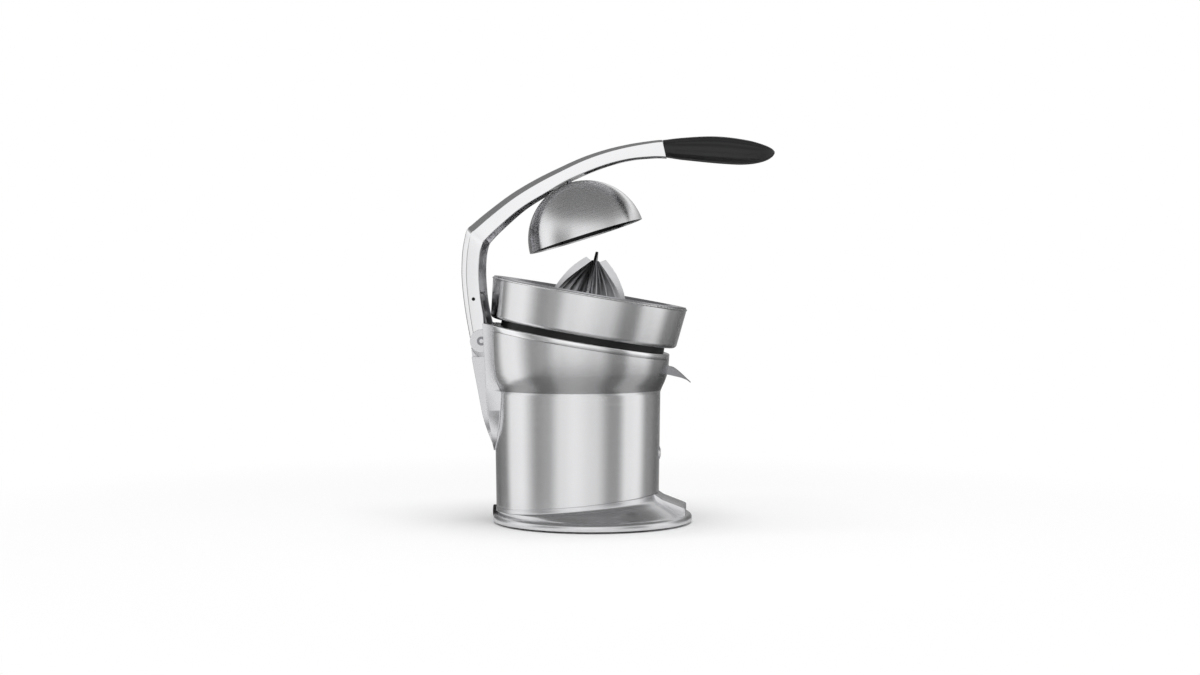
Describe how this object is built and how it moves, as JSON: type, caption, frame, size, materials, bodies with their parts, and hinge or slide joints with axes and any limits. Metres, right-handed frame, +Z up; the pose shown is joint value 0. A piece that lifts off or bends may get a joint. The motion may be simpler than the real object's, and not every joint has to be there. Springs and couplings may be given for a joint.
{
  "type": "lever citrus juice press",
  "caption": "Upright electric juice press: ribbed juicing cone in a tilted bowl, under a press cup on a linked arm with a rubber grip, over a round base with a front spout.",
  "frame": {"origin": "on the body's vertical axis, at the plane the foot ring rests on", "axes": "+Z up, +X to the front, where the spout and the grip point, +Y to the left seen from behind"},
  "size_m": [0.356, 0.2288, 0.4419],
  "materials": {
    "polished_cast": "polished",
    "brushed_steel": "brushed",
    "perforated_steel": "satin",
    "polished_fins": "polished",
    "spout_metal": "satin",
    "bezel_metal": "satin",
    "button_white": "gloss",
    "bracket_white": "satin",
    "dark_cone": "satin",
    "duct_plastic": "satin",
    "black_rubber": "matte",
    "steel_hardware": "machined",
    "link_steel": "satin",
    "gearbox_grey": "cast",
    "motor_steel": "plain",
    "rotor_copper": "wound",
    "gear_plastic": "moulded",
    "bush_bronze": "sintered",
    "board_green": "gloss"
  },
  "bodies": {
    "housing": {"base_casting": "polished_cast", "base_plate": "duct_plastic", "rubber_foot": "black_rubber", "base_screws": "steel_hardware", "cord_inlet": "black_rubber", "body_shell": "brushed_steel", "deck_ring": "polished_cast", "seat_ring": "dark_cone", "fairing_cheeks": "polished_cast", "rear_spine": "polished_cast", "spine_screws": "steel_hardware", "gearbox_frame": "gearbox_grey", "gearbox_screws": "steel_hardware", "motor_can": "motor_steel", "motor_screws": "steel_hardware", "idler_pin": "steel_hardware", "shaft_bush": "bush_bronze", "shaft_seal": "black_rubber", "circuit_board": "board_green", "board_posts": "dark_cone", "arm_switch": "dark_cone", "power_switch": "dark_cone", "button_bezel": "bezel_metal", "juice_duct": "duct_plastic", "spout_pin": "steel_hardware", "bowl": "brushed_steel", "filter_basket": "perforated_steel", "hinge_axle": "steel_hardware", "bump_stop": "black_rubber", "return_springs": "steel_hardware"},
    "rotor": {"motor_rotor": "rotor_copper"},
    "idler": {"idler_gear": "gear_plastic"},
    "drive": {"output_gear": "gear_plastic", "drive_shaft": "steel_hardware", "cone_core": "dark_cone", "cone_fins": "polished_fins"},
    "button": {"power_button": "button_white"},
    "spout": {"spout": "spout_metal"},
    "rocker": {"rocker_link": "link_steel"},
    "arm": {"arm_casting": "polished_cast", "arm_pin": "steel_hardware", "axle_caps": "steel_hardware", "grip_tang": "link_steel", "grip": "black_rubber", "dome_bracket": "bracket_white", "dome_screw": "steel_hardware", "press_dome": "brushed_steel", "dome_liner": "dark_cone"}
  },
  "joints": [
    {"name": "rocker_pivot", "type": "hinge", "parent": "housing", "child": "rocker", "pos_m": [-0.1068, 0, 0.209], "axis": [0, 1, 0], "range_deg": [-19, 0]},
    {"name": "lever_pivot", "type": "hinge", "parent": "rocker", "child": "arm", "pos_m": [-0.1158, 0, 0.2567], "axis": [0, 1, 0], "range_deg": [0, 46.1], "stiffness_Nm_per_rad": 1.3, "springref_deg": -74.48},
    {"name": "cone_spin", "type": "hinge", "parent": "housing", "child": "drive", "pos_m": [0.0043, 0, 0.2041], "axis": [0.1685, 0, 0.9857], "continuous": true},
    {"name": "idler_spin", "type": "hinge", "parent": "housing", "child": "idler", "pos_m": [0.0043, 0.04375, 0.2041], "axis": [0.1685, 0, 0.9857], "continuous": true},
    {"name": "motor_spin", "type": "hinge", "parent": "housing", "child": "rotor", "pos_m": [0.0043, 0.01575, 0.2041], "axis": [0.1685, 0, 0.9857], "continuous": true},
    {"name": "spout_flip", "type": "hinge", "parent": "housing", "child": "spout", "pos_m": [0.09912, 0, 0.176], "axis": [0, -1, 0], "range_deg": [0, 25]},
    {"name": "power_button_press", "type": "slide", "parent": "housing", "child": "button", "axis": [-1, 0, 0], "range_m": [0, 0.001], "stiffness_N_per_m": 300, "springref_m": -0.001}
  ],
  "couplings": [
    {"joint": "rocker_pivot", "follows": "lever_pivot", "ratio": -0.4121},
    {"joint": "idler_spin", "follows": "cone_spin", "ratio": -4},
    {"joint": "motor_spin", "follows": "cone_spin", "ratio": 14.667}
  ]
}
